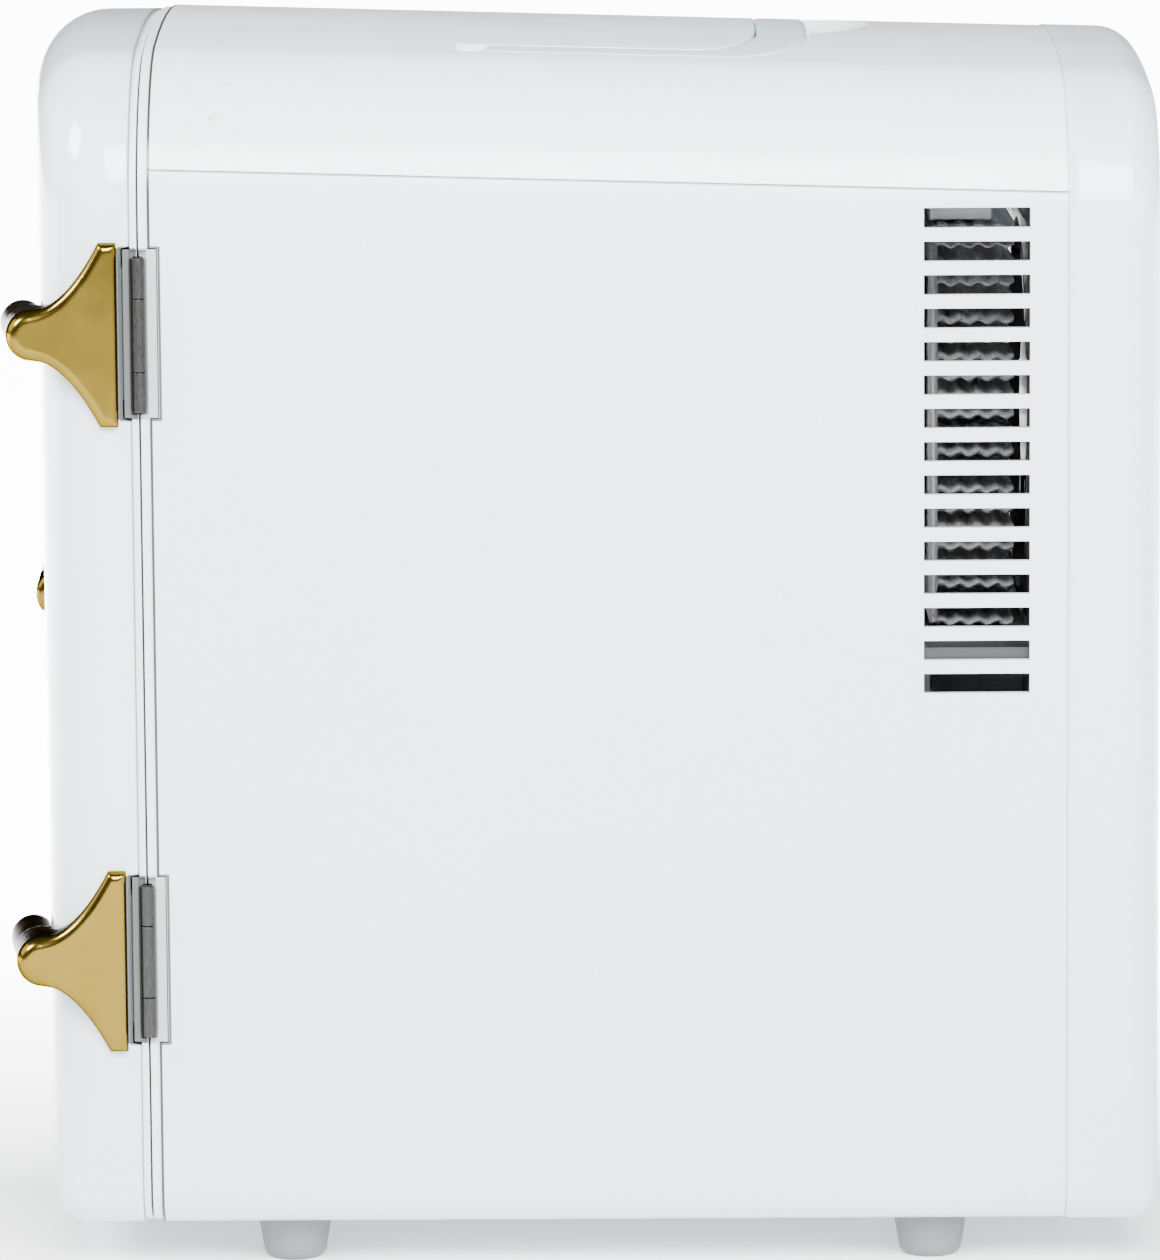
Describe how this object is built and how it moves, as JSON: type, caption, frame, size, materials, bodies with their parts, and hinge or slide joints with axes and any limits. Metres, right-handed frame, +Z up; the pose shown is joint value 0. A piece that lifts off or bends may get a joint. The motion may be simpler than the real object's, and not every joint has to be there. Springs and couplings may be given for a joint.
{
  "type": "mini fridge",
  "caption": "Retro style thermoelectric mini fridge: arched white cabinet, bulged hinged door, gold hinge covers and pull handle, flush carry handle, side vents, feet.",
  "frame": {"origin": "on the floor under the middle of the overall box", "axes": "+Z up, -Y towards the door, +X towards the door's hinge side"},
  "size_m": [0.1913, 0.2661, 0.2844],
  "materials": {
    "shell_white": "gloss",
    "inner_white": "satin",
    "liner_white": "gloss",
    "foam_white": "matte",
    "foot_grey": "satin",
    "gold_plate": "polished",
    "steel": "satin",
    "hinge_steel": "polished",
    "fin_aluminium": "satin",
    "block_aluminium": "satin",
    "clear_shelf": "gloss",
    "grille_white": "satin",
    "ceramic_white": "matte",
    "foam_grey": "matte",
    "foam_light": "matte",
    "fan_black": "satin",
    "partition_grey": "satin",
    "board_green": "satin",
    "component_mix": "satin",
    "lead_red": "satin",
    "socket_black": "satin",
    "pin_brass": "polished",
    "seal_grey": "matte",
    "magnet_dark": "matte"
  },
  "bodies": {
    "cabinet": {"lower_shell": "shell_white", "top_cover": "shell_white", "rear_cover": "shell_white", "front_frame": "inner_white", "liner": "liner_white", "insulation": "foam_white", "feet": "foot_grey", "foot_screws": "steel", "shelf": "clear_shelf", "cold_sink": "fin_aluminium", "cold_fan_frame": "fan_black", "cold_grille": "grille_white", "spacer_block": "block_aluminium", "peltier_module": "ceramic_white", "tec_gasket": "foam_grey", "hot_sink": "fin_aluminium", "heatsink_screws": "steel", "duct_seal": "foam_light", "hot_fan_frame": "fan_black", "fan_screws": "steel", "rear_partition": "partition_grey", "power_board": "board_green", "power_components": "component_mix", "board_screws": "steel", "lead_wires": "lead_red", "ac_inlet": "socket_black", "inlet_pins": "pin_brass", "dc_jack": "socket_black", "switch_body": "socket_black", "rear_cover_screws": "steel", "strike_ring": "steel", "hinge_leaf_body": "hinge_steel", "hinge_pins": "hinge_steel", "hinge_screws_body": "steel"},
    "door": {"door_shell": "shell_white", "door_panel": "inner_white", "door_insulation": "foam_white", "door_gasket": "seal_grey", "magnet_strip": "magnet_dark", "hinge_leaf_door": "hinge_steel", "hinge_screws_door": "steel", "upper_hinge_cover": "gold_plate", "lower_hinge_cover": "gold_plate", "pull_handle": "gold_plate", "handle_screws": "steel", "door_bin": "clear_shelf"},
    "carry_handle": {"carry_handle": "shell_white"},
    "hot_fan_rotor": {"hot_fan_rotor": "fan_black"},
    "cold_fan_rotor": {"cold_fan_rotor": "fan_black"},
    "mode_rocker": {"mode_rocker": "socket_black"}
  },
  "joints": [
    {"name": "door_hinge", "type": "hinge", "parent": "cabinet", "child": "door", "pos_m": [0.0945, -0.0981, 0.1443], "axis": [0, 0, 1], "range_deg": [0, 130]},
    {"name": "handle_pivot", "type": "hinge", "parent": "cabinet", "child": "carry_handle", "pos_m": [0, -0.0205, 0.27226], "axis": [1, 0, 0], "range_deg": [0, 90]},
    {"name": "hot_fan_spin", "type": "hinge", "parent": "cabinet", "child": "hot_fan_rotor", "pos_m": [0, 0.116, 0.1895], "axis": [0, 1, 0], "continuous": true},
    {"name": "cold_fan_spin", "type": "hinge", "parent": "cabinet", "child": "cold_fan_rotor", "pos_m": [0, 0.035, 0.1895], "axis": [0, 1, 0], "continuous": true},
    {"name": "mode_rocker_tilt", "type": "hinge", "parent": "cabinet", "child": "mode_rocker", "pos_m": [0.04, 0.125, 0.063], "axis": [1, 0, 0], "range_deg": [-9, 9]}
  ]
}
